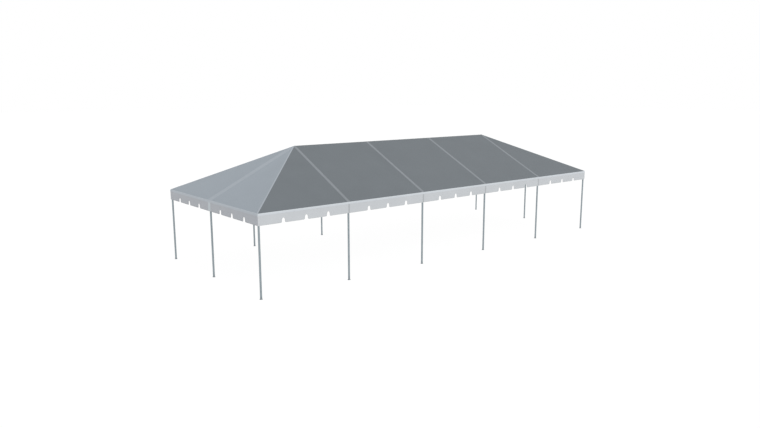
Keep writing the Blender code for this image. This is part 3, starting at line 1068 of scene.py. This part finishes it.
def make_post_bands(side):
    """A webbing band down the valance in front of each post that isn't a corner."""
    # The long sides take the darker webbing of painted shade, the ends the lighter webbing of
    # painted light.
    width, fabric = (POST_BAND, SHADED_WEBBING) if side in LONG_SIDES else (END_POST_BAND, LIT_WEBBING)
    half, sunk = width / 2, CLOTH / 2 + BAND_EDGE
    under_tape, over_tape = HEM_TAPE - 0.004, HEM_TAPE + 0.006
    top = RAIL_Z - HEM_Z - EAVE_BAND_DROP + UNDER_EAVE_BAND
    heights = [under_tape, *steps(over_tape, top, 8)]
    flat = steps(BAND_FLANK - half, half - BAND_FLANK, ACROSS_BAND)
    made = []
    for number, post in enumerate(side.posts[1:-1], start=2):
        rows = []
        for height in heights:
            proud = CLOTH / 2 + (0 if height == under_tape else BAND_LIFT)
            row = [on_valance(side, post + place, height, proud) for place in flat]
            edges = [on_valance(side, post + place, height, sunk) for place in (-half, half)]
            rows.append([edges[0], *row, edges[1]])
        made.append(strip(f"{side.name}_post_band_{number}", rows, [fabric]))
    return made


def make_corner_band(name, sign_x, sign_y):
    """A band down a corner of the valances, folded round it."""
    proud = CLOTH / 2 + BAND_LIFT
    section = [(CORNER_BAND, proud), (CORNER_BAND - 0.001, 0), (0.004, 0), (0.0012, 0.0012)]
    section += [(b, a) for a, b in reversed(section[:3])]
    corner_x, corner_y = HALF_LENGTH + FOLD_R + proud, HALF_WIDTH + FOLD_R + proud
    outline = [(sign_x * (corner_x - a), sign_y * (corner_y - b)) for a, b in section]
    heights = steps(HEM_Z, RAIL_Z - EAVE_BAND_DROP + UNDER_EAVE_BAND, 8)
    rows = [[(x, y, z) for x, y in outline] for z in heights]
    band = strip(name, rows, [LIT_CORNER_FABRIC, SHADED_END_CORNER_FABRIC], smooth_below=50)
    # Faces towards an end take the darker copy of painted shade, the others the lighter copy of
    # painted light.
    for face in band.data.polygons:
        face.material_index = int(abs(face.normal.x) > abs(face.normal.y))
    return band


def make_corner_bands():
    return [
        make_corner_band(f"{side}_{end}_corner_band", sign_x, sign_y)
        for sign_y, side in FRONT_BACK
        for sign_x, end in LEFT_RIGHT
    ]


# Cloth sizes and sheets

def canopy_cut():
    """Flat size of the canopy laid out, and the area of its slopes, ends and folded edges."""
    up_slope = math.hypot(HALF_WIDTH, RIDGE_Z - RAIL_Z)
    up_end = math.hypot(BAY, RIDGE_Z - RAIL_Z)
    fold = FOLD_R * (math.pi / 2 - math.atan(PITCH))
    slopes = (2 * HALF_LENGTH + 2 * HALF_RIDGE) * up_slope
    ends = 2 * HALF_WIDTH * up_end
    folds = fold * 4 * (HALF_LENGTH + HALF_WIDTH)
    flat = (2 * (up_slope + fold), 2 * (HALF_RIDGE + up_end + fold))
    return flat, slopes + ends + folds


def make_sheets(tubes):
    """The canopy and the four valances, with their seams and bands."""
    canopy = make_canopy()
    seams = make_seams()
    flat, area = canopy_cut()
    for side in (*LONG_SIDES, *ENDS):
        valance, flat, area = make_valance(side)
        pieces = [make_hem_tape(side), make_eave_band(side), *make_post_bands(side)]
        if side is FRONT:
            pieces += make_corner_bands()


# Camera, lights and floor

CAMERA_PLACE = Vector((-16.205, -18.575, 5.634))
CAMERA_AIM = Vector((0.62510, 0.75921, -0.18126))
CAMERA_RIGHT = Vector((0.77179, -0.63587, -0.00172))
FOCAL_PIXELS = 657.1
PHOTO_WIDTH = 760
SUN_DIRECTION = Vector((0.10, -0.75, 0.65))
SUN_STRENGTH = 1.6
SUN_SPREAD = math.radians(30)
FLOOR_SIZE = 400
FLOOR_GLOW = 0.98


def add_camera():
    """A camera at the viewpoint that was fitted to the picture."""
    data = bpy.data.cameras.new("camera")
    data.sensor_width = 36
    data.lens = FOCAL_PIXELS / PHOTO_WIDTH * data.sensor_width
    data.clip_end = 500
    camera = bpy.data.objects.new("camera", data)
    bpy.context.scene.collection.objects.link(camera)
    back = -CAMERA_AIM.normalized()
    right = (CAMERA_RIGHT - CAMERA_RIGHT.dot(back) * back).normalized()
    up = back.cross(right)
    turn = Matrix((right, up, back)).transposed()
    camera.matrix_world = Matrix.Translation(CAMERA_PLACE) @ turn.to_4x4()
    bpy.context.scene.camera = camera


def add_lights():
    """A white studio with one large soft light from the front."""
    scene = bpy.context.scene
    scene.view_settings.view_transform = "Standard"
    world = bpy.data.worlds.new("studio")
    world.use_nodes = True
    background = world.node_tree.nodes["Background"].inputs
    background["Color"].default_value = (1, 1, 1, 1)
    background["Strength"].default_value = 1.0
    scene.world = world
    sun_data = bpy.data.lights.new("key", "SUN")
    sun_data.energy = SUN_STRENGTH
    sun_data.angle = SUN_SPREAD
    sun = bpy.data.objects.new("key", sun_data)
    sun.rotation_euler = SUN_DIRECTION.to_track_quat("Z", "Y").to_euler()
    scene.collection.objects.link(sun)


def add_floor():
    """A pale floor that stays as bright as the backdrop."""
    bpy.ops.mesh.primitive_plane_add(size=FLOOR_SIZE)
    floor = bpy.context.object
    floor.name = "floor"
    paint = material("floor_paint", (0.03, 0.03, 0.03), 1.0, shine=0.0)
    sockets = paint.node_tree.nodes["Principled BSDF"].inputs
    sockets["Emission Color"].default_value = (1, 1, 1, 1)
    sockets["Emission Strength"].default_value = FLOOR_GLOW
    floor.data.materials.append(paint)


make_sheets(make_frame())
add_camera()
add_lights()
add_floor()
